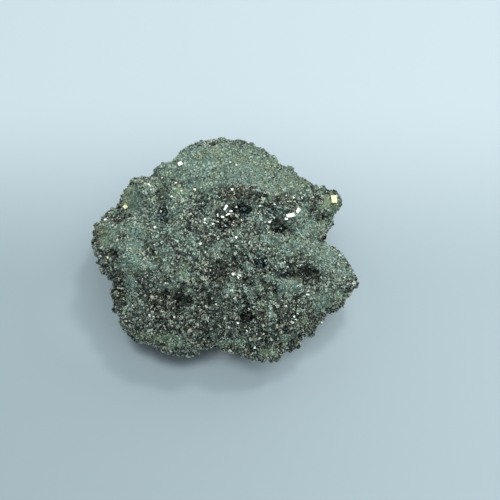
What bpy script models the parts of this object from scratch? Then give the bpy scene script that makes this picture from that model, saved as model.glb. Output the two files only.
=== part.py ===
"""A rough lump of granular pyrite: one solid that rests on a small flat spot.

The lump is worked out in millimetres and turned into metres at the end, +Z up. Its best side faces
a viewer who stands at -Y and looks down at it, so the outline and the forms of that side are given
as this viewer sees them: across to the right and up, from the middle of the body.
"""

import math
import random

import bmesh
import bpy
import numpy as np
from mathutils import Euler, Matrix, Vector, noise

# The body before it is broken and worn: half sizes, and how high its middle stands.
HALF_WIDTH = 25.0
HALF_DEPTH = 23.0
HALF_HEIGHT = 14.2
MIDDLE_HEIGHT = 7.4
SQUARENESS = 2.3

# The underside starts this far below the middle, and is flattened to this share of its depth.
UNDERSIDE_START = 6.0
UNDERSIDE_SHARE = 0.2

# The viewer of the best side: degrees above the horizon, and distance from the middle.
VIEW_TILT = 50.0
VIEW_DISTANCE = 260.0

# The lump's rim as the viewer sees it, (across, up), clockwise from the top.
RIM = (
    (-0.6, 21.0), (3.0, 20.4), (5.2, 19.6), (7.8, 18.4), (10.7, 16.4), (13.5, 14.2),
    (15.9, 12.6), (18.3, 11.9), (20.7, 10.9), (21.8, 9.3), (21.3, 7.6), (20.2, 7.0),
    (20.4, 5.2), (19.4, 3.5), (18.7, 2.2), (20.2, 0.6), (21.5, -0.1), (22.4, -1.7),
    (23.9, -3.7), (24.5, -5.4), (24.7, -6.6), (22.8, -8.8), (22.1, -10.2), (20.7, -11.2),
    (19.1, -12.0), (17.6, -13.3), (17.3, -15.0), (16.3, -16.7), (14.9, -16.7), (12.5, -18.6),
    (10.5, -20.1), (9.4, -20.6), (6.0, -20.5), (3.0, -19.8), (0.6, -18.9), (-2.2, -18.4),
    (-4.1, -18.6), (-5.3, -19.6), (-7.3, -19.9), (-10.1, -19.4), (-12.8, -18.4), (-15.6, -17.2),
    (-17.6, -16.0), (-19.4, -13.9), (-20.7, -11.5), (-21.2, -8.8), (-21.5, -6.1), (-23.1, -4.0),
    (-23.9, -2.0), (-24.8, 0.1), (-24.8, 2.8), (-24.1, 4.9), (-22.0, 6.9), (-19.7, 9.0),
    (-18.8, 11.4), (-16.9, 13.5), (-13.5, 14.1), (-13.1, 15.2), (-11.8, 16.2), (-9.7, 16.7),
    (-8.0, 18.9), (-5.6, 20.0), (-2.9, 20.5),
)

# Swellings and hollows with soft edges: across, up, reach along, reach over, turn in degrees, rise.
SOFT_FORMS = (
    (0.0, 1.6, 19.0, 3.0, 0.0, 0.6),  # the lip that runs right across
    (6.0, 7.0, 8.0, 3.2, 8.0, -0.8),  # the trough above the lip
    (3.0, 14.5, 9.0, 4.0, -12.0, 0.8),  # the smooth upper cap
    (18.6, 9.6, 3.4, 2.4, -20.0, 1.0),  # the knob at the upper right
    (17.4, 1.8, 3.6, 1.3, 5.0, -1.2),  # the valley behind the notch of the right side
    (21.0, -5.5, 3.6, 3.6, 0.0, 0.9),  # the right wing
    (13.9, -3.4, 3.8, 2.0, -6.0, -1.0),  # the dark hollow inside the right wing
    (12.4, -6.5, 2.3, 1.4, -15.0, 0.8),  # the smooth mound under that hollow
    (8.6, -12.6, 3.2, 2.4, 20.0, 0.7),  # the swelling of the lower right
    (3.9, -11.2, 1.5, 2.3, 25.0, -1.7),  # the hollow beside it
    (1.7, -7.0, 1.9, 1.8, 0.0, 0.7),  # a mound above that hollow
    (0.6, -3.4, 3.4, 1.1, 8.0, -0.4),  # the furrow under the lip
    (-3.2, -17.0, 1.4, 3.6, -12.0, -1.5),  # the groove up from the notch of the lower edge
    (-5.6, -10.6, 2.2, 2.8, 0.0, 0.7),  # the mound at the foot of the left half
    (-8.1, -9.6, 1.3, 3.4, -8.0, -1.6),  # the gully beside that mound
    (-12.6, -8.6, 3.4, 1.8, 5.0, -1.1),  # the hollow that the gully opens into
    (-11.0, -15.0, 6.0, 2.6, -18.0, 0.8),  # the lower left lobe
    (-19.1, -6.6, 1.2, 3.4, 4.0, -1.8),  # the upright groove of the left side
    (-17.6, 0.2, 2.4, 2.2, 0.0, 0.8),  # the worn boss beside the round hole
    (-19.2, 7.0, 3.2, 0.9, 28.0, -1.3),  # the crease over the left lobe
    (-22.2, 3.0, 2.2, 3.4, 0.0, 0.7),  # the left lobe
    (-14.8, 11.6, 2.6, 2.0, 0.0, 0.9),  # the upper left boss
    (-11.5, 9.2, 1.0, 3.2, 2.0, -1.4),  # the cleft between that boss and the middle
    (-8.6, 7.4, 1.9, 2.0, 0.0, 0.9),  # the small boss on the other side of the cleft
    (-8.0, 14.6, 2.8, 1.6, 20.0, 0.5),  # the shoulder under the upper rim
)

# Holes with steep walls, given in the same way.
STEEP_HOLES = (
    (2.8, 7.6, 3.0, 2.0, 40.0, -4.4),  # the crystal-lined hole near the middle
    (-1.0, 4.4, 1.6, 1.2, 35.0, -2.0),  # its shallow tail
    (10.0, 4.1, 2.5, 1.5, -12.0, -4.2),  # the second lined hole
    (9.4, 8.0, 2.0, 1.6, -20.0, -1.6),  # the step above it
    (-20.5, -0.5, 1.0, 0.8, 40.0, -2.2),  # the round hole of the left lobe
    (-11.3, 11.3, 0.7, 1.3, 0.0, -1.2),  # the top of the cleft
    (-11.1, 7.1, 0.9, 1.3, 0.0, -1.3),  # its foot
    (9.1, 14.5, 0.6, 0.5, 0.0, -0.9),  # the pinhole of the upper cap
    (5.2, -17.5, 0.9, 0.8, 0.0, -1.2),  # the hole near the lower edge
    (3.5, -9.5, 0.8, 1.1, 10.0, -2.0),  # the upper hole beside the lower right swelling
    (4.4, -12.4, 1.2, 0.8, -30.0, -1.8),  # the lower hole there
    (16.0, -4.4, 1.3, 2.0, 25.0, -2.0),  # the dark end of the hollow inside the right wing
    (-7.0, -10.0, 0.8, 2.5, -6.0, -1.9),  # the bottom of the gully
    (-11.9, -8.0, 1.9, 0.9, 8.0, -1.5),  # the bottom of the hollow that it opens into
    (7.2, -2.6, 0.8, 1.1, 0.0, -1.2),  # a pit under the lip
    (-3.6, -9.7, 0.8, 0.9, 0.0, -1.4),  # a pit on the mound at the foot of the left half
)

# Flat faces left where the lump broke off: compass bearing from +X, rise, distance, how hard.
BREAKS = (
    (62.0, 18.0, 20.2, 0.75),
    (118.0, -12.0, 19.0, 0.7),
    (150.0, 30.0, 18.6, 0.6),
    (5.0, -34.0, 18.4, 0.7),
    (188.0, -30.0, 18.6, 0.65),
    (248.0, -42.0, 15.6, 0.5),
    (90.0, 48.0, 16.6, 0.6),
)

# The roughness that covers every side: size of one lump, and how far it stands out.
SWELL_SIZE, SWELL_HEIGHT = 13.0, 1.3
KNOB_SIZE, KNOB_HEIGHT = 5.2, 0.8
NUB_SIZE, NUB_HEIGHT = 2.3, 0.55
NOISE_PLACE = Vector((31.7, 12.4, 58.9))

# The knobs and nubs are bent out of true by this much, with one noise for each direction.
BEND = 1.6
BEND_SHIFTS = (Vector((0.0, 0.0, 0.0)), Vector((17.3, 5.1, 9.7)), Vector((3.9, 28.6, 14.2)))

# The underside is smoother as far out as this, around the spot that the lump rests on.
SPOT_REACH = 11.0

# Pits of the sides that the viewer doesn't see.
HIDDEN_PITS = 26
PIT_REACH = (1.0, 2.4)
PIT_DEPTH = (0.6, 1.6)

# The larger crystals: where the viewer sees them, the length of an edge, and how far the middle
# of each lies under the skin as a share of that length.
SEEN_CRYSTALS = (
    (20.0, 9.3, 1.9), (-18.2, 7.9, 1.3), (12.3, 6.4, 1.6), (13.7, 7.6, 1.1), (11.1, 5.9, 1.0),
    (7.9, 5.3, 0.9), (0.5, 7.7, 1.0), (1.0, 8.9, 0.9), (2.6, 8.0, 0.9), (-0.7, 6.4, 0.8),
    (0.2, 4.6, 0.8), (3.0, 7.0, 0.8), (-0.4, 8.2, 0.8), (1.5, 7.0, 0.9), (-8.2, 15.7, 1.2),
    (1.7, -4.7, 1.0), (6.9, -4.8, 0.9), (-3.4, -10.8, 1.0), (3.7, -10.3, 0.9),
    (12.8, -12.5, 1.0), (17.5, -13.6, 1.0), (15.5, -8.5, 1.0), (2.2, -13.8, 0.9),
    (-14.6, -15.8, 1.0), (-9.6, -9.7, 1.0), (-10.9, -6.3, 0.9), (-4.6, 1.0, 0.8),
    (-11.8, -11.8, 0.8), (16.9, -16.0, 1.2), (15.2, -14.9, 1.2), (-16.4, 10.2, 1.1),
    (-13.0, 13.3, 1.1),
)
SCATTERED_CRYSTALS = 84
SCATTERED_EDGE = (0.8, 1.6)
SUNK_SHARE = 0.1

SPHERE_LEVEL = 7
SKIN_STEP = 0.4
KEPT_TRIANGLES = 6100
SEED = 20
MM = 0.001


def view_axes():
    """Unit vectors of the viewer's across, up and out, which points at the viewer."""
    tilt = math.radians(VIEW_TILT)
    across = np.array((1.0, 0.0, 0.0))
    up = np.array((0.0, math.sin(tilt), math.cos(tilt)))
    out = np.array((0.0, -math.cos(tilt), math.sin(tilt)))
    return across, up, out


def as_seen(points):
    """Where the viewer sees each point, across and up at the middle's distance, and its height out."""
    across, up, out = view_axes()
    height = points @ out
    nearer = VIEW_DISTANCE / (VIEW_DISTANCE - height)
    return points @ across * nearer, points @ up * nearer, height


def smooth_step(low, high, value):
    share = np.clip((value - low) / (high - low), 0.0, 1.0)
    return share * share * (3.0 - 2.0 * share)


def read_points(mesh):
    points = np.empty(len(mesh.vertices) * 3)
    mesh.vertices.foreach_get("co", points)
    return points.reshape(-1, 3)


def write_points(mesh, points):
    mesh.vertices.foreach_set("co", points.ravel())
    mesh.update()


def read_normals(mesh):
    normals = np.empty(len(mesh.vertices) * 3)
    mesh.vertices.foreach_get("normal", normals)
    return normals.reshape(-1, 3)


def body_points(directions):
    """A swollen box between a brick and an egg, through the directions of a sphere's points."""
    power = np.abs(directions) ** SQUARENESS
    reach = power.sum(axis=1) ** (-1.0 / SQUARENESS)
    return directions * reach[:, None] * (HALF_WIDTH, HALF_DEPTH, HALF_HEIGHT)


def break_off(points):
    """Presses the points beyond each broken face back towards it."""
    for bearing, rise, distance, hardness in BREAKS:
        bearing, rise = math.radians(bearing), math.radians(rise)
        facing = np.array(
            (math.cos(rise) * math.cos(bearing), math.cos(rise) * math.sin(bearing), math.sin(rise))
        )
        beyond = np.maximum(points @ facing - distance, 0.0)
        points = points - (beyond * hardness)[:, None] * facing
    return points


def flatten_underside(points):
    """Presses the underside up, so that the front edge comes down close to the ground."""
    below = np.maximum(-UNDERSIDE_START - points[:, 2], 0.0)
    return points + (below * (1.0 - UNDERSIDE_SHARE))[:, None] * (0.0, 0.0, 1.0)


def form_share(across, up, form):
    """How far into a form each seen point is: 0 at its middle, 1 at its reach."""
    form_across, form_up, along, over, turn, rise = form
    turn = math.radians(turn)
    right, high = across - form_across, up - form_up
    length = (right * math.cos(turn) + high * math.sin(turn)) / along
    width = (high * math.cos(turn) - right * math.sin(turn)) / over
    return np.hypot(length, width)


def raise_forms(points, normals):
    """Moves the side that faces the viewer in and out, by its swellings, hollows and holes."""
    out = view_axes()[2]
    across, up, _ = as_seen(points)
    rise = np.zeros(len(points))
    for form in SOFT_FORMS:
        rise += form[-1] * np.exp(-form_share(across, up, form) ** 2)
    for form in STEEP_HOLES:
        rise += form[-1] * np.exp(-form_share(across, up, form) ** 4)
    rise *= smooth_step(0.0, 0.45, normals @ out)
    return points + rise[:, None] * out


def lump_height(place, size):
    """A rounded lump in each cell of the given size: 1 on its crown, below 0 in the gaps."""
    nearest = noise.voronoi(place / size)[0][0]
    return 1.0 - 2.6 * nearest * nearest


def roughen(points, normals):
    """Adds swells, knobs and nubs over every side, along the surface's own direction."""
    heights = []
    for point in points:
        place = Vector(point) + NOISE_PLACE
        bend = Vector([noise.noise((place + shift) / KNOB_SIZE) for shift in BEND_SHIFTS]) * BEND
        height = SWELL_HEIGHT * noise.noise(place / SWELL_SIZE)
        height += KNOB_HEIGHT * (lump_height(place + bend, KNOB_SIZE) - 0.4)
        height += NUB_HEIGHT * (lump_height(place + bend, NUB_SIZE) - 0.4)
        heights.append(height)
    from_spot = np.hypot(points[:, 0], points[:, 1]) / SPOT_REACH
    rough = np.where(normals[:, 2] < 0.0, smooth_step(0.75, 1.25, from_spot), 1.0)
    return points + (rough * np.array(heights))[:, None] * normals


def pit_hidden_sides(points, normals, chance):
    """Presses pits into the sides that face away from the viewer."""
    out = view_axes()[2]
    hidden = np.flatnonzero(normals @ out < 0.05)
    for _ in range(HIDDEN_PITS):
        middle = points[hidden[chance.randrange(len(hidden))]]
        reach = chance.uniform(*PIT_REACH)
        depth = chance.uniform(*PIT_DEPTH)
        near = np.linalg.norm(points - middle, axis=1) / reach
        points = points - (depth * np.exp(-near**4))[:, None] * normals
    return points


def fit_to_rim(points):
    """Moves the points sideways for the viewer until the lump's seen edge follows the rim."""
    across_axis, up_axis, out_axis = view_axes()
    across, up, height = as_seen(points)
    bearing = np.arctan2(up, across)
    reach = np.hypot(across, up)

    bins = 240
    slot = ((bearing + math.pi) / (2.0 * math.pi) * bins).astype(int) % bins
    widest = np.zeros(bins)
    np.maximum.at(widest, slot, reach)
    widest = (np.roll(widest, 1) + 2.0 * widest + np.roll(widest, -1)) / 4.0
    slot_bearing = (np.arange(bins) + 0.5) / bins * 2.0 * math.pi - math.pi

    rim = np.array(RIM)
    rim_bearing = np.arctan2(rim[:, 1], rim[:, 0])
    order = np.argsort(rim_bearing)
    rim_reach = np.hypot(rim[:, 0], rim[:, 1])
    wanted = np.interp(bearing, rim_bearing[order], rim_reach[order], period=2.0 * math.pi)
    present = np.interp(bearing, slot_bearing, widest, period=2.0 * math.pi)
    pull = smooth_step(0.45, 1.0, reach / present)
    stretch = 1.0 + (wanted / present - 1.0) * pull
    return (
        (points @ across_axis * stretch)[:, None] * across_axis
        + (points @ up_axis * stretch)[:, None] * up_axis
        + height[:, None] * out_axis
    )


def make_lump(chance):
    """The lump's own surface, dense at first and then thinned to flat facets."""
    mesh = bpy.data.meshes.new("pyrite_lump")
    shape = bmesh.new()
    bmesh.ops.create_icosphere(shape, subdivisions=SPHERE_LEVEL, radius=1.0)
    shape.to_mesh(mesh)
    shape.free()

    directions = read_points(mesh)
    directions /= np.linalg.norm(directions, axis=1)[:, None]
    write_points(mesh, flatten_underside(break_off(body_points(directions))))
    write_points(mesh, fit_to_rim(read_points(mesh)))
    write_points(mesh, roughen(read_points(mesh), read_normals(mesh)))
    write_points(mesh, raise_forms(read_points(mesh), read_normals(mesh)))
    write_points(mesh, pit_hidden_sides(read_points(mesh), read_normals(mesh), chance))
    write_points(mesh, fit_to_rim(read_points(mesh)))

    lump = bpy.data.objects.new("pyrite_lump", mesh)
    bpy.context.scene.collection.objects.link(lump)
    cleaning = lump.modifiers.new("clean skin", "REMESH")
    cleaning.mode = "VOXEL"
    cleaning.voxel_size = SKIN_STEP
    bake(lump)
    thinning = lump.modifiers.new("facets", "DECIMATE")
    thinning.ratio = KEPT_TRIANGLES / (2.0 * len(lump.data.polygons))
    bake(lump)
    return lump


def bake(item):
    """Replaces the object's mesh by what its modifiers make of it."""
    bpy.context.view_layer.update()
    graph = bpy.context.evaluated_depsgraph_get()
    finished = bpy.data.meshes.new_from_object(item.evaluated_get(graph))
    item.modifiers.clear()
    item.data = finished


def crystal_seats(lump, chance):
    """(place, outward direction, edge) of each larger crystal."""
    across_axis, up_axis, out_axis = view_axes()
    eye = Vector(out_axis) * VIEW_DISTANCE
    seats = []
    for across, up, edge in SEEN_CRYSTALS:
        target = Vector(across * across_axis + up * up_axis)
        hit, place, normal, _ = lump.ray_cast(eye, (target - eye).normalized())
        if hit:
            seats.append((place, normal, edge))
    faces = lump.data.polygons
    for _ in range(SCATTERED_CRYSTALS):
        face = faces[chance.randrange(len(faces))]
        seats.append((face.center.copy(), face.normal.copy(), chance.uniform(*SCATTERED_EDGE)))
    return seats


def make_crystals(seats, chance):
    """One mesh of cubes, each turned its own way and sunk part of its edge into the lump."""
    shape = bmesh.new()
    for place, normal, edge in seats:
        turn = Euler([chance.uniform(0.0, math.pi) for _ in range(3)]).to_matrix().to_4x4()
        middle = place - normal * edge * SUNK_SHARE
        sides = [edge * chance.uniform(0.75, 1.0) for _ in range(3)]
        stretch = Matrix.Diagonal((*sides, 1.0))
        bmesh.ops.create_cube(shape, size=1.0, matrix=Matrix.Translation(middle) @ turn @ stretch)
    mesh = bpy.data.meshes.new("crystals")
    shape.to_mesh(mesh)
    shape.free()
    crystals = bpy.data.objects.new("crystals", mesh)
    bpy.context.scene.collection.objects.link(crystals)
    return crystals


def join_crystals(lump, crystals):
    joining = lump.modifiers.new("crystals", "BOOLEAN")
    joining.operation = "UNION"
    joining.solver = "EXACT"
    joining.use_self = True
    joining.object = crystals
    bake(lump)
    bpy.data.objects.remove(crystals)


def cut_resting_spot(lump):
    """Cuts the underside off level, which leaves the small flat spot that the lump rests on."""
    depth = 2.0 * HALF_HEIGHT
    shape = bmesh.new()
    middle = Matrix.Translation((0.0, 0.0, -MIDDLE_HEIGHT - depth / 2.0))
    sides = Matrix.Diagonal((4.0 * HALF_WIDTH, 4.0 * HALF_DEPTH, depth, 1.0))
    bmesh.ops.create_cube(shape, size=1.0, matrix=middle @ sides)
    mesh = bpy.data.meshes.new("level_cut")
    shape.to_mesh(mesh)
    shape.free()
    block = bpy.data.objects.new("level_cut", mesh)
    bpy.context.scene.collection.objects.link(block)
    cutting = lump.modifiers.new("resting spot", "BOOLEAN")
    cutting.operation = "DIFFERENCE"
    cutting.solver = "EXACT"
    cutting.object = block
    bake(lump)
    bpy.data.objects.remove(block)


def keep_main_skin(lump):
    """Drops every loose scrap and sealed pocket, so that one closed skin is left."""
    shape = bmesh.new()
    shape.from_mesh(lump.data)
    unseen = set(shape.verts)
    main_skin = set()
    while unseen:
        skin = set()
        waiting = [next(iter(unseen))]
        while waiting:
            point = waiting.pop()
            if point in skin:
                continue
            skin.add(point)
            waiting.extend(edge.other_vert(point) for edge in point.link_edges)
        unseen -= skin
        main_skin = max(main_skin, skin, key=len)
    scraps = [point for point in shape.verts if point not in main_skin]
    bmesh.ops.delete(shape, geom=scraps, context="VERTS")
    shape.to_mesh(lump.data)
    shape.free()


def settle_in_metres(lump):
    """Puts the origin under the middle of the lump's box, on the resting spot, and scales to metres."""
    points = read_points(lump.data)
    low, high = points.min(axis=0), points.max(axis=0)
    origin = np.array(((low[0] + high[0]) / 2.0, (low[1] + high[1]) / 2.0, low[2]))
    write_points(lump.data, (points - origin) * MM)


def pyrite_material():
    material = bpy.data.materials.new("tarnished_pyrite")
    material.use_nodes = True
    shader = material.node_tree.nodes["Principled BSDF"]
    shader.inputs["Base Color"].default_value = (0.20, 0.25, 0.20, 1.0)
    shader.inputs["Metallic"].default_value = 0.6
    shader.inputs["Roughness"].default_value = 0.5
    return material


for item in list(bpy.data.objects):
    bpy.data.objects.remove(item)

chance = random.Random(SEED)
lump = make_lump(chance)
join_crystals(lump, make_crystals(crystal_seats(lump, chance), chance))
cut_resting_spot(lump)
keep_main_skin(lump)
settle_in_metres(lump)
lump.data.materials.append(pyrite_material())
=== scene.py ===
import math

import bmesh
import bpy
import numpy as np
from mathutils import Matrix, Vector, noise
from mathutils.bvhtree import BVHTree


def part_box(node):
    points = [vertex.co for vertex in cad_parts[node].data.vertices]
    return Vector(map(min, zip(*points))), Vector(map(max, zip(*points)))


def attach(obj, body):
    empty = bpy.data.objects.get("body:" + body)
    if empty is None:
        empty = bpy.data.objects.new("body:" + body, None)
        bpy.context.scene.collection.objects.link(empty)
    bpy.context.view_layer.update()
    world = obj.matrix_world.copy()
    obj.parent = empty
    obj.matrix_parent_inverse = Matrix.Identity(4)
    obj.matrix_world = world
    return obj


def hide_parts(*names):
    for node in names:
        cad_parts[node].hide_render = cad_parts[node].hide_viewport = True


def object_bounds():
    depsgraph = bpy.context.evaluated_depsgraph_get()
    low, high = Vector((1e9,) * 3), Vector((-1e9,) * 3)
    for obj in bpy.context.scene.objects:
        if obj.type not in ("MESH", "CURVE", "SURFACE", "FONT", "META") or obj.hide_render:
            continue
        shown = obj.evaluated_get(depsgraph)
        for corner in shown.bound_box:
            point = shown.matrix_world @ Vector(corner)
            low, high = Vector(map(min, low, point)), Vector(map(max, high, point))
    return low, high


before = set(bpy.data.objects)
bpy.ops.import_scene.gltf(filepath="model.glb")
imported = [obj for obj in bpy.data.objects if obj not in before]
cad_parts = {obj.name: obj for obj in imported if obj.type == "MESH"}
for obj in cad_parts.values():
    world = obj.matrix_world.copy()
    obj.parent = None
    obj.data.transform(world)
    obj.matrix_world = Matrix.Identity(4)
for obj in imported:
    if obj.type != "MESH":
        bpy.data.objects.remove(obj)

# The mass of the lump: fine granular pyrite that grew as one piece and broke out of its vein. It
# keeps the form of the imported solid, worn a little softer, with the pits and creases between its
# clusters of grains. It is dull and dark where it lies bare, and carries dust where it lies open.
# In its gaps it is painted near black and given less dust: painted shade in the recesses.
MM = 0.001
solid_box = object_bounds()
floor_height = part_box("pyrite_lump")[0].z

SKIN_STEP = 0.31 * MM
WELD_WITHIN = 0.001 * MM
WEAR_PASSES = 3
FLAT_SPOT_EDGE = 0.5 * MM
BOX_MAP_FILL = 0.48

# What is worn into it, by size and depth: pits, creases between clusters of grains, chinks between
# smaller clumps, and holes. Creases come in patches, and their bends and width are given as shares
# of a cluster or clump.
PIT_SIZE, PIT_DEPTH = 0.80 * MM, 0.45 * MM
CLUSTER_SIZE, CREASE_DEPTH = 3.4 * MM, 1.20 * MM
CLUMP_SIZE, CHINK_DEPTH = 1.3 * MM, 0.40 * MM
HOLE_DEPTH = 1.1 * MM
CREASED_PATCH = 5.0 * MM
BEND_SPACING, BEND_REACH, CREASE_WIDTH = 0.6, 0.4, 0.28

# How much dust lies on it everywhere, how much more where it faces up, and how large and how strong
# the dust's patches and spots are. Then the sizes of what else varies over it.
DUST_LEVEL, DUST_FROM_ABOVE = 0.40, 0.22
DUST_PATCH, PATCH_STRENGTH = 5.5 * MM, 0.26
DUST_SPOT, SPOT_STRENGTH = 2.0 * MM, 0.30
BLOOM_PATCH, BLOOM_SPOT = 9.0 * MM, 1.8 * MM
TINT_SPOT = 1.5 * MM
TARNISH_SPOT, MOTTLE_SPOT = 1.4 * MM, 0.35 * MM
PORE_SPACING, PORE_DEPTH = 0.16 * MM, 0.08 * MM

# The side that the viewer sees is described as it is seen: across to the right and up, in
# millimetres from the middle, for someone in front of the lump who looks down at it.
VIEW_TILT = math.radians(50.0)
VIEW_DISTANCE = 260.0 * MM
LOOK_AT = Vector((0.27, -0.09, 7.4)) * MM
TO_VIEWER = Vector((0.0, -math.cos(VIEW_TILT), math.sin(VIEW_TILT)))
VIEW_UP = Vector((0.0, math.sin(VIEW_TILT), math.cos(VIEW_TILT)))

# Soft ovals on that side: across, up, reach across, reach up, and how strong. The dust is a pale
# green-grey powder of weathered pyrite, and the olive is a yellow bloom on it.
DUSTY = (
    (1.8, 15.7, 8.3, 3.7, 0.45), (-5.5, 16.0, 5.0, 3.5, 0.40), (11.1, 12.6, 6.0, 2.4, 0.40),
    (-9.5, 14.8, 3.0, 1.1, 0.62), (-13.9, 10.4, 1.4, 1.8, 0.30), (-17.4, 10.0, 1.8, 2.4, 0.62),
    (-8.3, 10.7, 1.3, 0.9, 0.50), (-22.0, 3.0, 2.6, 3.2, 0.45), (-17.6, 4.0, 2.5, 2.0, 0.35),
    (-16.8, -0.4, 1.1, 2.3, 0.75), (-9.0, 4.6, 1.8, 2.6, 0.35), (14.6, 3.4, 2.4, 1.6, 0.35),
    (12.0, 1.9, 7.0, 1.2, 0.25), (18.9, -1.7, 4.0, 3.4, 0.36), (21.0, -4.2, 2.5, 2.5, 0.30),
    (12.4, -6.8, 2.3, 1.0, 0.85), (-10.9, -3.2, 1.0, 1.5, 0.45), (-7.6, -4.6, 1.6, 1.1, 0.40),
    (-10.6, -6.9, 2.0, 0.8, 0.75), (-18.1, -6.2, 1.0, 1.1, 0.95), (-18.1, -9.4, 0.9, 1.8, 0.50),
    (-16.0, -11.0, 1.6, 2.4, 0.30), (-10.8, -17.1, 3.2, 1.3, 0.95), (-6.8, -11.0, 0.9, 1.4, 0.30),
    (-6.6, -8.1, 0.8, 0.8, 0.70), (1.0, -6.9, 1.2, 1.2, 0.45), (6.2, -6.9, 1.6, 1.0, 0.30),
    (6.7, -10.0, 0.8, 0.8, 0.50), (8.5, -11.8, 0.7, 1.4, 0.50), (14.4, -13.4, 1.8, 1.2, 0.45),
    (18.7, -9.2, 2.2, 2.0, 0.45), (15.4, -8.7, 1.0, 0.9, 0.25), (1.2, -17.4, 3.6, 1.3, 0.65),
    (12.4, -17.0, 2.6, 1.6, 0.55), (8.0, -18.6, 2.6, 0.8, 0.25), (19.9, 7.8, 1.8, 1.8, 0.45),
    (4.6, -3.2, 1.5, 0.8, 0.35), (-14.7, -15.8, 2.0, 1.2, 0.55), (4.6, 7.0, 0.9, 1.3, 0.55),
    (2.4, 9.1, 1.4, 0.7, 0.35), (7.9, 5.6, 0.8, 0.7, 0.35), (-19.1, 10.2, 1.0, 1.0, 0.35),
    (-16.2, 8.2, 1.0, 1.6, 0.55), (-3.7, 12.5, 1.0, 1.2, 0.55), (-1.0, 16.4, 1.3, 0.8, 0.65),
    (18.3, 4.8, 2.0, 1.5, 0.62), (3.4, -10.4, 0.9, 0.8, 0.60), (8.6, -8.5, 1.3, 0.8, 0.35),
    (13.2, -8.1, 1.2, 0.7, 0.35), (18.4, -11.0, 2.2, 1.3, 0.72), (15.9, -4.3, 0.8, 1.0, 0.50),
    (-2.4, -15.7, 1.0, 0.9, 0.65), (-10.9, -2.0, 1.2, 0.7, 0.30), (6.6, -1.1, 0.9, 0.7, 0.42),
    (9.8, -1.9, 0.8, 0.7, 0.30), (-16.5, -9.8, 1.2, 1.1, 0.45), (8.2, -10.1, 0.8, 0.7, 0.30),
    (21.2, -8.4, 1.5, 1.2, 0.55), (-7.0, 2.2, 1.5, 1.3, 0.35), (14.5, 7.8, 1.3, 1.3, 0.45),
    (-11.0, 11.2, 0.9, 1.0, 0.35), (-19.3, 4.6, 1.2, 0.9, 0.65), (-12.6, 4.9, 0.9, 0.8, 0.40),
    (-12.9, 2.0, 0.9, 0.9, 0.35), (-18.8, -2.5, 1.8, 0.8, 0.50), (-11.0, -0.8, 1.8, 1.1, 0.50),
    (0.0, -12.6, 0.9, 1.0, 0.35), (4.7, -8.1, 1.0, 0.8, 0.45), (5.2, -11.4, 0.9, 0.9, 0.20),
    (7.2, -19.0, 1.6, 0.8, 0.55), (14.2, -15.7, 1.4, 0.9, 0.45), (18.1, -6.6, 1.3, 1.0, 0.30),
    (22.6, -4.6, 0.9, 0.9, 0.50), (6.1, -5.3, 1.0, 0.7, 0.45), (-7.0, -3.6, 0.9, 0.9, 0.35),
    (8.6, 9.8, 0.9, 0.9, 0.60), (12.1, -0.5, 1.2, 0.6, 0.40), (-0.8, 18.7, 1.4, 1.0, 0.65),
    (8.6, 13.4, 1.6, 0.8, 0.55), (7.8, 15.8, 1.2, 1.0, 0.50), (-17.3, 12.6, 1.0, 0.8, 0.50),
    (8.4, -5.2, 0.9, 0.8, 0.35), (-13.6, -3.0, 1.3, 0.9, 0.35), (-20.9, 6.9, 0.9, 0.7, 0.50),
    (4.9, -11.9, 0.9, 0.8, 0.25), (-1.0, -9.3, 1.1, 0.7, 0.30), (1.4, -5.4, 1.0, 0.6, 0.35),
)
OLIVE = (
    (3.0, 17.3, 2.6, 1.8, 0.45), (8.3, 15.6, 3.2, 1.6, 0.45), (13.0, 12.6, 3.2, 1.8, 0.45),
    (19.6, 9.0, 2.4, 2.6, 0.80), (-18.8, 8.4, 2.2, 2.4, 0.65), (-22.8, 2.6, 2.0, 3.4, 0.50),
    (-13.0, 12.6, 2.6, 1.8, 0.35), (-8.4, 10.7, 2.4, 0.9, 0.60), (-1.3, 18.0, 1.2, 1.4, 0.45),
    (-12.0, -16.4, 5.5, 2.0, 0.70), (-3.0, -18.0, 4.5, 1.6, 0.50), (7.5, -18.6, 5.5, 1.6, 0.65),
    (15.0, -13.0, 2.6, 1.8, 0.60), (20.8, -9.0, 1.8, 1.4, 0.45), (17.3, 3.8, 1.6, 1.4, 0.40),
    (11.4, 8.6, 1.2, 1.0, 0.60),
)

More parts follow.
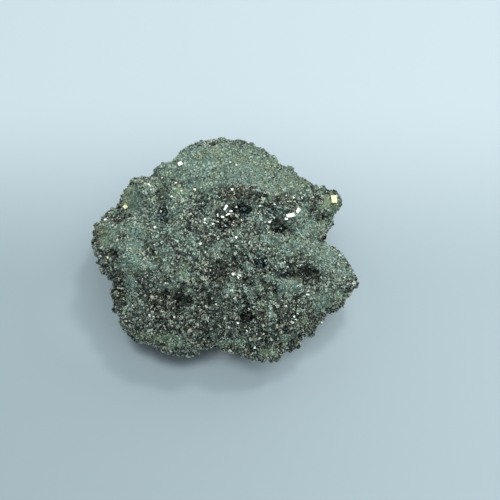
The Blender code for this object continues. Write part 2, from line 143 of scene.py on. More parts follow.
# The hollows are clean and lined with larger crystals, the bare parts have lost their dust, and the
# holes are small deep gaps between clusters.
HOLLOWS = (
    (3.0, 7.1, 1.6, 1.6, 1.00), (1.3, 5.9, 2.2, 1.2, 0.85), (-0.4, 4.8, 1.8, 0.9, 0.75),
    (9.8, 3.8, 1.7, 0.6, 0.70), (8.7, 7.6, 0.8, 0.8, 0.40), (14.6, -4.2, 2.6, 1.2, 0.60),
    (12.4, -4.1, 1.5, 0.9, 0.65), (-11.6, 7.2, 0.7, 2.0, 0.60), (3.9, -11.2, 1.1, 1.9, 0.60),
    (6.9, -2.4, 1.0, 1.4, 0.65), (-19.5, -7.4, 0.8, 2.2, 0.50), (-8.2, -10.3, 0.9, 2.2, 0.70),
)
BARE = HOLLOWS + (
    (-1.0, -9.3, 13.0, 6.5, 0.24), (2.2, 10.8, 2.8, 1.4, 0.60), (-1.5, 2.7, 3.0, 1.1, 0.35),
    (4.6, 3.4, 1.6, 1.8, 0.35), (7.4, 10.0, 1.5, 1.2, 0.40), (12.0, 8.4, 2.2, 1.6, 0.55),
    (16.3, 9.0, 1.2, 1.8, 0.40), (18.4, 6.2, 1.2, 1.2, 0.40), (-20.6, 5.4, 1.4, 1.2, 0.45),
    (-7.0, 6.6, 1.8, 2.2, 0.30), (-12.3, 6.4, 1.6, 1.6, 0.20), (-4.2, 8.4, 1.2, 2.4, 0.45),
    (-8.4, -1.4, 2.0, 1.2, 0.45), (-1.0, -4.6, 3.2, 2.6, 0.40), (-12.0, -9.2, 2.4, 1.3, 0.70),
    (-11.7, -11.6, 1.7, 1.5, 0.65), (3.0, -4.9, 1.4, 0.9, 0.60), (6.9, -8.7, 1.3, 0.7, 0.40),
    (11.4, -10.9, 3.4, 2.0, 0.45), (22.8, -6.2, 1.4, 1.4, 0.45), (7.0, -17.0, 2.2, 2.0, 0.25),
    (-3.6, -15.0, 1.2, 1.0, 0.25), (4.6, 0.8, 1.6, 0.9, 0.25), (8.0, -3.9, 1.8, 1.2, 0.40),
    (-1.9, -6.6, 1.6, 1.3, 0.55), (11.4, -2.2, 1.6, 1.0, 0.45), (-13.8, 0.6, 1.6, 1.2, 0.40),
    (2.8, -13.6, 2.4, 1.0, 0.40), (-3.5, -10.4, 1.0, 0.9, 0.50), (14.6, 0.0, 1.8, 0.8, 0.25),
    (-13.4, -4.3, 1.3, 0.7, 0.20), (-9.2, 12.5, 1.3, 0.7, 0.45), (10.8, 9.4, 1.4, 1.2, 0.35),
    (4.1, -13.9, 1.2, 0.8, 0.45), (-8.5, -12.4, 1.0, 1.6, 0.75), (-11.2, -14.2, 1.3, 0.7, 0.35),
    (-5.0, -8.7, 1.0, 0.9, 0.45), (-4.4, -11.9, 1.0, 0.8, 0.30), (-4.6, -15.4, 0.9, 0.7, 0.30),
    (11.7, -13.5, 1.4, 0.9, 0.40), (4.8, -6.0, 1.2, 1.1, 0.30), (-3.0, 1.5, 1.1, 0.6, 0.30),
    (0.8, 4.0, 1.3, 1.1, 0.45), (-7.5, 5.5, 3.0, 0.7, 0.50), (-21.2, -1.0, 0.8, 0.7, 0.45),
    (-19.8, 2.8, 0.9, 0.9, 0.40), (2.6, 11.2, 2.0, 1.0, 0.60), (4.8, 10.8, 1.1, 1.0, 0.40),
    (15.0, -5.9, 1.3, 0.7, 0.25), (-12.3, 10.4, 0.9, 0.7, 0.30), (1.9, -9.0, 0.8, 0.7, 0.30),
    (13.4, 1.1, 1.2, 0.7, 0.20), (-0.9, 3.2, 1.4, 0.8, 0.65), (11.0, 1.7, 1.6, 0.7, 0.40),
    (10.6, -10.4, 1.4, 1.0, 0.60), (13.4, -12.3, 1.2, 0.9, 0.50), (16.0, -14.9, 1.2, 0.8, 0.50),
    (7.0, -12.6, 1.0, 0.9, 0.45), (2.7, -14.0, 1.2, 0.8, 0.50), (-3.5, -6.0, 0.9, 1.0, 0.50),
    (6.6, -3.6, 1.0, 0.8, 0.45), (2.9, -1.8, 0.9, 1.1, 0.35), (-12.0, -5.6, 1.1, 0.8, 0.35),
    (-11.0, 1.7, 1.0, 0.9, 0.35), (14.0, -2.0, 1.2, 0.8, 0.40), (9.8, 6.8, 1.5, 1.1, 0.40),
    (10.5, -5.0, 0.8, 0.7, 0.30), (-13.2, -14.6, 1.2, 0.7, 0.45), (-18.6, 6.6, 1.8, 0.6, 0.45),
    (11.5, 10.6, 1.4, 0.8, 0.35), (11.0, -15.4, 1.4, 0.7, 0.35), (1.5, 1.0, 1.0, 0.8, 0.30),
    (-5.6, -14.0, 1.0, 0.8, 0.35), (-0.6, 7.2, 0.9, 1.1, 0.35),
)
HOLES = (
    (-11.7, 7.4, 0.6, 0.9, 0.8), (-11.2, 5.6, 0.7, 0.5, 0.7), (-12.2, 10.8, 0.6, 0.5, 0.6),
    (-20.1, 5.8, 0.9, 0.6, 0.6), (-20.3, -0.8, 0.6, 0.5, 0.9), (-19.4, -7.1, 0.5, 1.3, 0.9),
    (-6.9, -9.3, 0.8, 0.6, 0.9), (-8.4, -12.0, 0.6, 1.7, 1.0), (-3.2, -9.4, 0.6, 0.8, 0.8),
    (3.9, -12.4, 1.1, 0.7, 1.0), (3.7, -5.2, 0.9, 0.5, 0.9), (6.6, -8.7, 0.9, 0.5, 0.9),
    (6.8, -2.6, 0.7, 0.9, 0.5), (12.3, -4.4, 1.2, 0.6, 0.8), (14.8, -4.1, 1.0, 0.6, 0.4),
    (14.8, -6.0, 0.6, 0.7, 0.8), (16.6, -4.7, 0.6, 0.7, 0.3), (19.5, -11.2, 0.8, 0.4, 0.7),
    (5.3, -18.3, 0.7, 0.8, 0.9), (8.0, -16.3, 0.7, 0.7, 0.5), (-3.7, -15.3, 0.6, 0.6, 0.5),
    (9.2, 13.8, 0.5, 0.5, 0.9), (18.6, 6.0, 0.6, 0.6, 0.5), (3.5, 7.1, 1.0, 1.0, 0.6),
    (1.8, 5.8, 1.2, 0.6, 0.4), (-0.3, 4.9, 1.3, 0.5, 0.5), (9.7, 3.7, 1.1, 0.4, 0.5),
)

# The rims, and a broad patch over the lower half, are painted darker: painted shade where the
# surface curves away and under. Some spots between them are darkened too, partly real stains and
# partly painted shade.
STAINS_AND_PAINTED_SHADE = (
    (3.5, 19.9, 3.4, 1.0, 0.9), (7.6, 18.2, 2.0, 1.0, 0.7), (11.0, 15.8, 1.6, 0.8, 0.6),
    (15.6, 13.3, 3.0, 0.9, 0.9), (19.4, 11.4, 1.6, 0.9, 0.9), (21.8, 8.8, 0.9, 1.8, 0.8),
    (-20.9, 8.4, 1.6, 0.9, 0.5), (-14.6, 14.2, 1.8, 0.8, 0.7), (-15.8, 11.2, 1.0, 0.9, 0.4),
    (-22.2, -5.8, 1.0, 2.6, 0.6), (-24.9, 2.2, 1.2, 3.2, 1.0), (21.8, -2.8, 1.2, 0.9, 0.3),
    (22.8, -9.6, 1.0, 1.2, 0.4), (-16.2, -17.4, 2.4, 0.9, 0.5), (-12.6, -19.2, 2.6, 0.8, 0.6),
    (-9.0, -20.0, 2.2, 0.7, 0.5), (-1.0, -18.9, 1.6, 0.7, 0.5), (1.8, -20.0, 2.4, 0.8, 0.6),
    (4.8, -20.9, 2.0, 0.8, 0.6), (-23.2, -1.2, 0.9, 1.4, 0.5), (-7.0, 19.8, 2.6, 0.7, 0.6),
    (10.5, 16.4, 1.6, 0.7, 0.5), (17.0, 12.7, 2.2, 0.7, 0.9), (-12.4, 16.0, 1.2, 0.8, 0.4),
    (9.8, 6.7, 1.5, 1.1, 0.5), (3.6, 7.2, 1.2, 1.2, 0.3), (2.2, 10.8, 2.2, 1.0, 0.45),
    (3.0, -4.9, 1.3, 0.9, 0.5), (6.8, 7.0, 1.0, 0.8, 0.35), (-12.0, -10.2, 2.2, 2.2, 0.40),
    (11.7, -13.4, 1.2, 0.8, 0.5), (11.5, -10.6, 2.4, 1.0, 0.35), (-2.0, -6.2, 1.6, 0.9, 0.35),
    (-8.2, -11.4, 0.9, 1.5, 0.7), (5.2, -9.9, 0.8, 0.7, 0.4), (7.0, 0.9, 1.6, 0.7, 0.3),
    (1.4, 10.3, 0.9, 1.3, 0.7), (0.4, 5.2, 2.0, 0.8, 0.8), (-0.9, 3.2, 1.4, 0.6, 0.8),
    (-4.0, 3.3, 1.2, 0.5, 0.4), (-7.2, 5.6, 1.2, 0.6, 0.4), (-11.4, 2.0, 0.9, 1.0, 0.6),
    (-1.1, -5.4, 1.0, 0.8, 0.7), (4.9, -6.6, 1.0, 0.6, 0.6), (12.1, -2.6, 1.3, 0.8, 0.6),
    (15.1, -6.0, 0.9, 1.2, 0.6), (9.9, 2.7, 1.0, 0.7, 0.4), (16.2, 7.8, 1.6, 0.7, 0.4),
    (11.9, -10.3, 1.2, 0.9, 0.6), (9.3, -16.1, 0.9, 1.5, 0.7), (16.3, -15.3, 0.9, 1.3, 0.8),
    (3.7, -13.4, 1.8, 0.7, 0.7), (-5.7, -9.2, 0.7, 0.8, 0.6), (-12.5, -15.0, 2.2, 0.6, 0.5),
    (11.3, 7.6, 0.9, 0.7, 0.6), (6.2, -11.0, 1.0, 0.8, 0.6), (-3.3, -6.0, 0.7, 0.9, 0.5),
    (-11.3, -11.9, 1.0, 0.7, 0.5), (11.3, -12.6, 0.7, 0.8, 0.5), (-21.4, -6.4, 0.9, 1.6, 0.5),
    (3.0, -12.0, 13.0, 6.0, 0.20), (-12.0, -11.8, 1.4, 0.7, 0.6), (-20.6, -13.0, 0.9, 2.0, 0.5),
    (5.8, -13.6, 1.4, 0.7, 0.5), (-2.3, -6.1, 1.1, 0.8, 0.5), (15.2, -7.6, 0.8, 0.8, 0.5),
    (-20.9, -11.5, 0.9, 2.2, 0.9), (-18.9, -16.2, 1.5, 1.4, 0.8), (0.2, -19.6, 1.8, 0.7, 0.8),
    (-20.0, -5.0, 1.0, 0.9, 0.6), (8.3, -0.6, 0.9, 0.6, 0.6), (1.9, -3.6, 0.8, 0.8, 0.5),
    (10.2, -10.0, 0.9, 0.9, 0.6), (13.0, 4.8, 0.8, 0.6, 0.7), (6.9, -3.6, 1.2, 0.8, 0.5),
    (2.3, 10.8, 1.3, 0.8, 0.6),
)

# Pale spots painted where clusters of crystals catch the light, which are painted highlights; where
# the dust lies so thick that the grains look alike; and the plates, which are flat faces with smooth
# dust and few grains.
PAINTED_HIGHLIGHTS = (
    (-1.1, 16.3, 1.0, 0.8, 0.8), (0.9, 15.8, 0.8, 0.5, 0.5), (-1.0, 18.8, 0.8, 0.9, 0.6),
    (-9.0, 14.9, 1.0, 0.8, 0.8), (-6.0, 15.2, 0.8, 0.7, 0.5), (-6.8, 17.8, 0.8, 1.0, 0.4),
    (-17.0, 9.0, 1.1, 1.1, 0.8), (-19.4, 8.6, 0.7, 0.8, 0.5), (8.1, 5.6, 0.8, 0.7, 1.0),
    (11.2, 5.3, 1.3, 0.6, 0.8), (13.3, 7.0, 0.9, 0.7, 0.9), (-3.3, 12.4, 0.8, 1.0, 0.5),
    (-10.3, 7.0, 0.8, 0.5, 0.5), (-19.3, -11.9, 0.9, 0.7, 0.6), (-10.6, -17.4, 1.0, 0.7, 0.8),
    (1.6, -18.0, 0.6, 0.7, 0.6), (6.8, -1.6, 0.7, 0.7, 0.5), (-10.8, -3.8, 0.6, 1.2, 0.6),
    (-3.0, 4.4, 0.8, 0.5, 0.5), (-8.0, 10.9, 1.0, 0.5, 0.5), (10.6, -17.6, 0.8, 0.6, 0.6),
    (-22.0, 2.6, 1.8, 1.8, 0.35), (-18.8, 4.8, 1.4, 0.8, 0.4), (-12.0, -1.9, 1.4, 0.8, 0.4),
)
THICK = (
    (1.0, 15.5, 9.0, 4.0, 0.4), (-18.5, 9.0, 3.5, 3.5, 0.7), (-22.0, 1.5, 3.5, 4.5, 0.9),
    (20.2, 8.8, 2.6, 2.8, 0.8), (13.0, 12.5, 5.5, 2.5, 0.4), (-20.5, -8.0, 2.0, 4.5, 0.6),
)
PLATES = (
    (-17.2, -0.2, 1.5, 2.2, 0.9), (10.9, -6.3, 1.0, 0.8, 1.0), (12.6, -5.9, 1.3, 0.7, 1.0),
    (14.0, -7.3, 0.8, 0.9, 1.0), (9.9, 6.7, 1.2, 0.9, 1.0), (-7.2, 11.1, 1.4, 0.7, 0.9),
    (14.6, 0.4, 2.6, 0.8, 0.6), (-12.3, 12.6, 1.6, 0.8, 0.6), (19.9, 9.6, 1.7, 2.0, 0.7),
)

# Where the crystals are tarnished blue, and where they are rusty.
BLUED = (
    (3.4, 7.4, 1.0, 1.4, 0.8), (9.9, 6.9, 1.8, 1.5, 0.8), (9.4, 4.4, 1.6, 0.9, 0.4),
    (-4.2, 8.0, 0.9, 2.0, 0.6), (-11.6, 6.8, 0.9, 1.8, 0.8), (6.8, -2.0, 1.0, 1.5, 0.8),
    (9.8, -3.9, 1.0, 1.0, 0.7), (3.8, -9.8, 0.9, 1.5, 0.6), (-10.2, -16.6, 1.4, 1.2, 0.4),
    (-16.4, 3.0, 0.9, 0.8, 0.4), (5.3, -18.1, 0.8, 1.0, 0.4),
)
RUSTY = (
    (-3.2, 2.0, 0.7, 0.5, 0.9), (1.8, 5.6, 1.2, 0.7, 0.7), (2.2, 10.4, 2.4, 1.2, 0.4),
    (-1.5, -3.4, 1.8, 1.8, 0.3), (6.3, -12.2, 1.5, 1.0, 0.4), (-6.4, -14.4, 1.5, 1.0, 0.3),
    (-23.2, 3.0, 1.2, 1.4, 0.4), (11.6, 8.8, 1.4, 0.9, 0.4), (-12.0, -10.0, 2.4, 2.0, 0.3),
    (18.9, 2.6, 0.9, 0.9, 0.4), (20.9, -9.6, 1.0, 1.0, 0.3), (20.1, 7.9, 0.6, 0.4, 0.7),
)


def smooth_step(low, high, value):
    """From 0 up to the low value to 1 from the high value on, smoothly."""
    share = np.clip((value - low) / (high - low), 0.0, 1.0)
    return share * share * (3.0 - 2.0 * share)


def noise_at(points, size, shift=0.0):
    """Smooth noise from about -1 to 1 at each point, whose swells are about the given size."""
    aside = Vector((shift, shift, shift))
    return np.array([noise.noise(Vector(point) / size + aside) for point in points])


def creases_at(points, size):
    """From 0 inside rounded cells of the given size to 1 in the crooked creases between them."""
    bends = np.stack([noise_at(points, BEND_SPACING * size, shift) for shift in (1.0, 12.0, 23.0)], axis=1)
    edge = np.empty(len(points))
    for index, point in enumerate(points + BEND_REACH * size * bends):
        distances = noise.voronoi(Vector(point) / size)[0]
        edge[index] = distances[1] - distances[0]
    return 1.0 - smooth_step(0.0, CREASE_WIDTH, edge)


def read_points(mesh, what="co"):
    values = np.empty(len(mesh.vertices) * 3, np.float32)
    mesh.vertices.foreach_get(what, values)
    return values.reshape(-1, 3).astype(float)


def linked(name, data):
    item = bpy.data.objects.new(name, data)
    bpy.context.scene.collection.objects.link(item)
    return item


def remeshed_lump():
    """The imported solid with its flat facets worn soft, as an even net of small squares."""
    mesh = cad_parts["pyrite_lump"].data.copy()
    shape = bmesh.new()
    shape.from_mesh(mesh)
    bmesh.ops.remove_doubles(shape, verts=shape.verts[:], dist=WELD_WITHIN)
    shape.to_mesh(mesh)
    shape.free()
    rough = linked("rough", mesh)
    even = rough.modifiers.new("even", "REMESH")
    even.mode = "VOXEL"
    even.voxel_size = SKIN_STEP
    wear = rough.modifiers.new("wear", "SMOOTH")
    wear.factor = 0.5
    wear.iterations = WEAR_PASSES
    bpy.context.view_layer.update()
    graph = bpy.context.evaluated_depsgraph_get()
    finished = bpy.data.meshes.new_from_object(rough.evaluated_get(graph))
    finished.materials.clear()
    bpy.data.objects.remove(rough)
    return finished


def outward_from_middle(points):
    """The way out of an egg of the lump's size at each point: a calmer guide than its own slopes."""
    low, high = (np.array(corner) for corner in solid_box)
    outward = (points - (low + high) / 2.0) / (high - low) ** 2
    return outward / np.linalg.norm(outward, axis=1)[:, None]


def oval_share(points, ovals):
    """How much each point of the seen side belongs to the strongest of some soft ovals."""
    offset = points - np.array(LOOK_AT)
    nearer = VIEW_DISTANCE / (VIEW_DISTANCE - offset @ np.array(TO_VIEWER)) / MM
    across, up = offset[:, 0] * nearer, offset @ np.array(VIEW_UP) * nearer
    share = np.zeros(len(points))
    for middle_across, middle_up, reach_across, reach_up, strength in ovals:
        away = np.hypot((across - middle_across) / reach_across, (up - middle_up) / reach_up)
        share = np.maximum(share, strength * np.exp(-away**2))
    turned_to_viewer = outward_from_middle(points) @ np.array(TO_VIEWER)
    return share * smooth_step(-0.35, -0.05, turned_to_viewer)


def give_values(mesh, **values):
    """Stores one number for each point of a mesh under each name, for its material to read."""
    for name, each in values.items():
        mesh.attributes.new(name, "FLOAT", "POINT").data.foreach_set("value", np.float32(each))


class Wire:
    """One output socket of a material's nodes. Sums and products of wires and numbers add nodes."""

    def __init__(self, tree, socket=None):
        self.tree = tree
        self.socket = socket

    def node(self, kind, settings, sockets, out=0):
        """Adds a node: its type, its settings, then the values or wires of its sockets."""
        made = self.tree.nodes.new(kind)
        for name, value in settings.items():
            setattr(made, name, value)
        for name, value in sockets.items():
            if isinstance(value, Wire):
                self.tree.links.new(value.socket, made.inputs[name])
            else:
                made.inputs[name].default_value = value
        return Wire(self.tree, made.outputs[out])

    def math(self, operation, *values):
        return self.node("ShaderNodeMath", {"operation": operation}, dict(enumerate(values)))

    def __add__(self, other):
        return self.math("ADD", self, other)

    __radd__ = __add__

    def __sub__(self, other):
        return self.math("SUBTRACT", self, other)

    def __rsub__(self, other):
        return self.math("SUBTRACT", other, self)

    def __mul__(self, other):
        return self.math("MULTIPLY", self, other)

    __rmul__ = __mul__

    def stored(self, name):
        """The number that each point of the mesh stores under this name."""
        return self.node("ShaderNodeAttribute", {"attribute_name": name}, {}, "Fac")

    def grain(self, size, detail=2.0):
        """Noise from 0 to 1 with swells of the given size, fixed to the object."""
        place = self.node("ShaderNodeTexCoord", {}, {}, "Object")
        return self.node("ShaderNodeTexNoise", {}, {"Vector": place, "Scale": 1.0 / size, "Detail": detail})

    def stretched(self, low, high):
        """This wire rescaled so that low becomes 0 and high becomes 1, smoothly and within them."""
        sockets = {"Value": self, "From Min": low, "From Max": high}
        return self.node("ShaderNodeMapRange", {"interpolation_type": "SMOOTHSTEP"}, sockets)

    def blend(self, first, second):
        """A colour from the first to the second as this wire goes from 0 to 1."""
        colours = [value if isinstance(value, Wire) else (*value, 1.0) for value in (first, second)]
        return self.node("ShaderNodeMix", {"data_type": "RGBA"}, {0: self, 6: colours[0], 7: colours[1]}, 2)

    def tinted(self, tint):
        """This colour multiplied by another."""
        settings = {"data_type": "RGBA", "blend_type": "MULTIPLY"}
        return self.node("ShaderNodeMix", settings, {0: 1.0, 6: self, 7: tint}, 2)


def start_material(name):
    """A new material, a wire to start its nodes from, and its shader's sockets."""
    material = bpy.data.materials.new(name)
    material.use_nodes = True
    shader = material.node_tree.nodes["Principled BSDF"]
    return material, Wire(material.node_tree), shader.inputs


def plug(sockets, **values):
    """Feeds a shader's sockets, named with _ for a space, from wires or with plain values."""
    for name, value in values.items():
        socket = sockets[name.replace("_", " ")]
        if isinstance(value, Wire):
            value.tree.links.new(value.socket, socket)
        elif isinstance(value, tuple):
            socket.default_value = (*value, 1.0)
        else:
            socket.default_value = value


def lay_box_map(mesh):
    """A map to bake the finish to: the surface as seen from its middle through the sides of a box."""
    low, high = (np.array(corner) for corner in solid_box)
    corners = np.empty(len(mesh.loops), np.int32)
    mesh.loops.foreach_get("vertex_index", corners)
    reach = ((read_points(mesh) - (low + high) / 2.0) / (high - low))[corners.reshape(-1, 4)]
    middle = reach.mean(axis=1)
    axis = np.abs(middle).argmax(axis=1)[:, None]
    ahead = np.take_along_axis(middle, axis, 1) > 0.0
    depth, along, over = (
        np.take_along_axis(reach, ((axis + step) % 3)[:, :, None], 2)[:, :, 0] for step in range(3)
    )
    across = axis + 0.5 + BOX_MAP_FILL * along / np.abs(depth)
    up = ahead + 0.5 + BOX_MAP_FILL * over / np.abs(depth)
    place = np.stack((across, up), axis=2) / (3.0, 2.0)
    layer = mesh.uv_layers.new(name="OFBake")
    layer.data.foreach_set("uv", place.astype(np.float32).ravel())


mass_mesh = remeshed_lump()
points = read_points(mass_mesh)
open_share = smooth_step(0.0, FLAT_SPOT_EDGE, points[:, 2] - floor_height)
outward = outward_from_middle(points)
unseen = 1.0 - smooth_step(0.0, 0.3, outward @ np.array(TO_VIEWER))

# The dust, before the ovals and carving, is more patchy on the sides away from the viewer.
patches = PATCH_STRENGTH * noise_at(points, DUST_PATCH, shift=2.1)
patches += SPOT_STRENGTH * noise_at(points, DUST_SPOT, shift=5.9)
dust_here = DUST_LEVEL + DUST_FROM_ABOVE * outward[:, 2] + patches * (0.55 + 0.45 * unseen)
stain_and_shade_here = oval_share(points, STAINS_AND_PAINTED_SHADE)
# Stains and painted shade also take some dust away, which darkens them more.
dust_here += oval_share(points, DUSTY) - oval_share(points, BARE) - 0.25 * stain_and_shade_here
plate_here = oval_share(points, PLATES)

# Thick dust and the plates are smoother, so they are carved less.
roughness_here = (1.0 - 0.55 * smooth_step(0.0, 0.9, dust_here)) * (1.0 - 0.9 * plate_here)
creased = smooth_step(-0.35, 0.35, noise_at(points, CREASED_PATCH, shift=4.4))
crease_here = creases_at(points, CLUSTER_SIZE) * creased
crease_here *= roughness_here * (0.8 + 0.2 * unseen)
chink_here = creases_at(points, CLUMP_SIZE) * roughness_here
pit_here = smooth_step(0.15, 0.50, noise_at(points, PIT_SIZE, shift=7.3)) * roughness_here
hole_here = oval_share(points, HOLES)
# Less dust in the creases, chinks and holes, so that they come out darker: painted shade.
dust_here = smooth_step(0.0, 0.9, dust_here - 0.45 * crease_here - 0.15 * chink_here - 0.5 * hole_here)

# The bloom, and how warm the tint of the crystals is: 0 is blue and 1 is rusty.
olive_here = 0.6 * smooth_step(-0.1, 0.6, noise_at(points, BLOOM_PATCH, shift=6.6))
olive_here *= 0.3 + 0.7 * unseen
olive_here += 0.9 * np.maximum(noise_at(points, BLOOM_SPOT, shift=15.2), 0.0)
olive_here = np.clip(olive_here + oval_share(points, OLIVE), 0.0, 1.0)
warmth_here = 0.5 + 0.5 * (oval_share(points, RUSTY) - oval_share(points, BLUED))
warmth_here += 0.20 * noise_at(points, TINT_SPOT, shift=8.8)
hollow_here = oval_share(points, HOLLOWS)
highlight_here = oval_share(points, PAINTED_HIGHLIGHTS)
thick_here = oval_share(points, THICK)

# The carving goes inward everywhere but on the flat spot.
depth = PIT_DEPTH * pit_here + CREASE_DEPTH * crease_here + CHINK_DEPTH * chink_here
depth = (depth + HOLE_DEPTH * hole_here) * open_share
points -= depth[:, None] * read_points(mass_mesh, "normal")
points[:, 2] = np.maximum(points[:, 2], floor_height)
mass_mesh.vertices.foreach_set("co", points.astype(np.float32).ravel())
mass_mesh.update()
gap_here = np.max((pit_here, crease_here, 0.6 * chink_here, hole_here), axis=0)
give_values(mass_mesh, dust=dust_here, gap=gap_here, olive=olive_here)

mass_material, wire, sockets = start_material("tarnished_mass")
# The gaps lose dust and turn near black: painted shade in pits, creases, chinks and holes.
gap = wire.stored("gap")
dust = wire.stored("dust") - 0.6 * gap
spots = wire.grain(TARNISH_SPOT).stretched(0.35, 0.65)
tarnish_and_gap_shade = spots.blend((0.013, 0.023, 0.018), (0.038, 0.054, 0.042))
tarnish_and_gap_shade = gap.blend(tarnish_and_gap_shade, (0.006, 0.010, 0.009))
mottle = wire.grain(MOTTLE_SPOT, 4.0).stretched(0.28, 0.72)
powder = mottle.blend((0.071, 0.110, 0.090), (0.187, 0.266, 0.222))
bloom = mottle.blend((0.079, 0.108, 0.065), (0.204, 0.260, 0.153))
pores = {"Strength": 0.6, "Distance": PORE_DEPTH, "Height": wire.grain(PORE_SPACING, 3.0)}
plug(
    sockets,
    Base_Color=dust.stretched(0.25, 0.8).blend(tarnish_and_gap_shade, wire.stored("olive").blend(powder, bloom)),
    Roughness=0.55 + 0.3 * dust,
    Metallic=0.2,
    Normal=wire.node("ShaderNodeBump", {}, pores),
)
lay_box_map(mass_mesh)
mass = linked("granular_mass", mass_mesh)
mass_mesh.materials.append(mass_material)
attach(mass, "root")
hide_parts("pyrite_lump")

# The grains: small pyrite crystals, blocks and slivers of all proportions, packed side by side over
# the whole lump and turned every way. Each is grown into the mass by about half its height or more.
# They are tarnished grey, and the dust lies on them as it does on the mass.
chance = np.random.default_rng(11)
GRAIN_SEATS = 84000
GRAINS_PER_PIECE = 15500
OFF_FLOOR = 0.3 * MM
GRAIN_EDGE = 0.28 * MM
LEAST_EDGE, MOST_EDGE = 0.15 * MM, 0.75 * MM
EDGE_SPREAD = 0.36

# As shares of an edge: a grain's sides, how deep its middle is sunk, and how far its corners are off.
LEAST_SIDE, MOST_SIDE = 0.45, 1.45
LEAST_SUNK, MOST_SUNK = 0.10, 0.45
CROOKED = 0.14

# Their shade: its blotches, its flecks, and the shares of grains that are pale or bright.
TONE_SPOT, FLECK = 0.6 * MM, 0.28 * MM
PALE_SHARE = 0.13
BRIGHT_SHARE, BRIGHT_SHARE_IF_BARE = 0.03, 0.10

# The larger flashing crystals stand free of the grains: across, up, wide, tall, how far they are
# turned in degrees, and how brassy. The grains keep clear of them by a margin.
CLEAR_MARGIN = 0.3
SHARDS = (
    (20.15, 9.4, 1.05, 1.5, 4, 1.0), (12.05, 6.25, 1.5, 0.75, 20, 0.0), (11.3, 5.65, 0.5, 0.4, 10, 0.0),
    (13.5, 7.15, 0.95, 0.6, 55, 0.3), (8.15, 5.45, 1.0, 0.8, 60, 0.0), (-18.5, 7.9, 0.8, 0.7, 40, 0.9),
    (-8.35, 15.9, 0.85, 0.6, 30, 0.0), (0.05, 7.7, 1.1, 0.35, 62, 0.0), (1.05, 7.0, 0.55, 0.45, 20, 0.0),
    (0.4, 6.45, 0.8, 0.3, 30, 0.0), (1.95, 7.9, 0.5, 0.4, 0, 0.0), (1.4, 8.75, 0.35, 0.3, 40, 0.6),
    (-1.4, 6.3, 0.25, 0.6, 5, 0.0), (-0.5, 6.0, 0.45, 0.35, 0, 0.3), (0.2, 4.45, 0.5, 0.45, 0, 0.0),
)

BLOCK_CORNERS = np.array([(x, y, z) for x in (-0.5, 0.5) for y in (-0.5, 0.5) for z in (-0.5, 0.5)])
BLOCK_FACES = np.array([(0, 1, 3, 2), (4, 6, 7, 5), (0, 4, 5, 1), (2, 3, 7, 6), (0, 2, 6, 4), (1, 5, 7, 3)])
TILE_MARGIN = 0.08
low, high = TILE_MARGIN, 1.0 - TILE_MARGIN
TILE_CORNERS = np.array([(low, low), (high, low), (high, high), (low, high)])


class Seats:
    """Places spread evenly at random over the mass, each with the way out from the mass there."""

    def __init__(self, count):
        mass_mesh.calc_loop_triangles()
        corners = np.empty(len(mass_mesh.loop_triangles) * 3, np.int32)
        mass_mesh.loop_triangles.foreach_get("vertices", corners)
        corners = corners.reshape(-1, 3)
        first, second, third = (points[corners[:, index]] for index in range(3))
        crosses = np.cross(second - first, third - first)
        areas = np.linalg.norm(crosses, axis=1)
        chosen = np.searchsorted(np.cumsum(areas) / areas.sum(), chance.random(count))
        along, over = np.sort(chance.random((2, count)), axis=0)
        self.corners = corners[chosen]
        self.shares = np.stack((along, over - along, 1.0 - over), axis=1)
        self.places = self.of(points)
        self.outward = crosses[chosen] / areas[chosen][:, None]

    def of(self, values):
        """What some values of the mass's points come to at the seats."""
        return np.einsum("ij...,ij->i...", values[self.corners], self.shares)

    def keep(self, kept):
        self.corners, self.shares = self.corners[kept], self.shares[kept]
        self.places, self.outward = self.places[kept], self.outward[kept]


def random_turns(count):
    """Rotation matrices that turn things every way alike."""
    x, y, z, w = chance.normal(size=(4, count))
    size = np.sqrt(x * x + y * y + z * z + w * w)
    x, y, z, w = x / size, y / size, z / size, w / size
    rows = [
        (1 - 2 * (y * y + z * z), 2 * (x * y - z * w), 2 * (x * z + y * w)),
        (2 * (x * y + z * w), 1 - 2 * (x * x + z * z), 2 * (y * z - x * w)),
        (2 * (x * z - y * w), 2 * (y * z + x * w), 1 - 2 * (x * x + y * y)),
    ]
    return np.array(rows).transpose(2, 0, 1)


def lay_tiles(mesh, count):
    """Gives each block a square tile of the map that finishes are baked to, and each face a cell of it."""
    tiles = math.ceil(math.sqrt(count))
    block = np.arange(count)
    tile = np.stack((block % tiles, block // tiles), axis=1) / tiles
    face = np.arange(len(BLOCK_FACES))
    cell = np.stack((face % 3 / 3.0, face // 3 / 2.0), axis=1)
    place = tile[:, None, None, :] + (cell[None, :, None, :] + TILE_CORNERS / (3.0, 2.0)) / tiles
    layer = mesh.uv_layers.new(name="OFBake")
    layer.data.foreach_set("uv", place.astype(np.float32).ravel())


def grow_blocks(name, material, middles, turns, sides, crooked, **values):
    """One piece of closed blocks, more or less crooked, with each block's values stored on its points."""
    count = len(middles)
    corners = BLOCK_CORNERS + crooked * chance.uniform(-1.0, 1.0, (count, len(BLOCK_CORNERS), 3))
    corners = np.einsum("nij,nkj->nki", turns, corners * sides[:, None, :])
    corners += middles[:, None, :]
    corners[:, :, 2] = np.maximum(corners[:, :, 2], floor_height)
    faces = BLOCK_FACES[None] + (np.arange(count) * len(BLOCK_CORNERS))[:, None, None]

    mesh = bpy.data.meshes.new(name)
    mesh.vertices.add(count * len(BLOCK_CORNERS))
    mesh.vertices.foreach_set("co", corners.astype(np.float32).ravel())
    mesh.loops.add(faces.size)
    mesh.loops.foreach_set("vertex_index", faces.astype(np.int32).ravel())
    mesh.polygons.add(count * len(BLOCK_FACES))
    mesh.polygons.foreach_set("loop_start", np.arange(0, faces.size, 4, dtype=np.int32))
    mesh.update(calc_edges=True)
    mesh.shade_flat()
    give_values(mesh, **{what: np.repeat(each, len(BLOCK_CORNERS)) for what, each in values.items()})
    lay_tiles(mesh, count)
    mesh.materials.append(material)
    item = linked(name, mesh)
    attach(item, "root")


